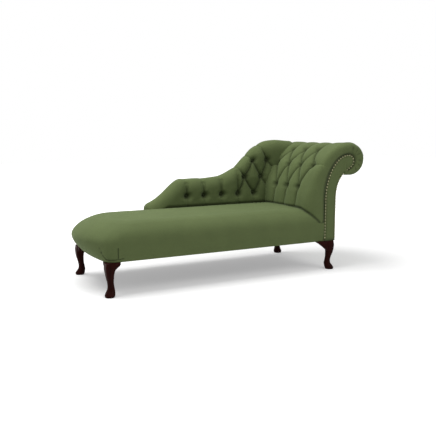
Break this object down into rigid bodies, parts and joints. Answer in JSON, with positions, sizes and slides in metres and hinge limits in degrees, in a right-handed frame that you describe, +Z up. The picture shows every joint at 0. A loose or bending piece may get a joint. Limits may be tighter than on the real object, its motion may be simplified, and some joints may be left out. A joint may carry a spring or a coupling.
{
  "type": "chaise longue",
  "caption": "Upholstered chaise longue with a buttoned scroll head end, a serpentine buttoned side back and cabriole legs.",
  "frame": {"origin": "on the floor, under the middle of the overall length and depth", "axes": "+X along the seat towards the scrolled head end, +Y across towards the side back, +Z up"},
  "size_m": [1.8409, 0.6602, 0.83],
  "materials": {
    "wool": "muted green wool cloth",
    "mahogany": "dark polished mahogany",
    "beech": "planed beech, unfinished",
    "board": "millboard",
    "foam": "upholstery stuffing",
    "webbing": "jute webbing",
    "hessian": "hessian",
    "dust_cloth": "black cambric",
    "nail_brass": "antiqued brass",
    "steel": "zinc plated steel"
  },
  "bodies": {
    "root": {"corner_post_far": "beech", "corner_post_near": "beech", "dust_cover": "dust_cloth", "facing_board_near": "board", "facing_cover_near": "wool", "frame_dowels": "beech", "head_buttons": "wool", "head_hessian": "hessian", "head_middle_rail": "beech", "head_outside_cover": "wool", "head_pad": "wool", "head_scroll_rail": "beech", "head_stuffing_rail": "beech", "head_webbing": "webbing", "leg_ears_far_foot": "mahogany", "leg_ears_far_head": "mahogany", "leg_ears_near_foot": "mahogany", "leg_ears_near_head": "mahogany", "leg_far_foot": "mahogany", "leg_far_head": "mahogany", "leg_near_foot": "mahogany", "leg_near_head": "mahogany", "leg_screws": "steel", "outside_back_cover": "wool", "outside_back_lining": "board", "scroll_post_far": "beech", "scroll_post_near": "beech", "seat_cover": "wool", "seat_cross_rails": "beech", "seat_foam": "foam", "seat_hessian": "hessian", "seat_rail_far": "beech", "seat_rail_foot": "beech", "seat_rail_head": "beech", "seat_rail_near": "beech", "seat_webbing_cross": "webbing", "seat_webbing_long": "webbing", "side_back_post": "beech", "side_buttons": "wool", "side_end_post": "beech", "side_hessian": "hessian", "side_pad": "wool", "side_posts": "beech", "side_stuffing_rails": "beech", "side_top_rail": "beech", "side_webbing": "webbing"}
  },
  "joints": []
}
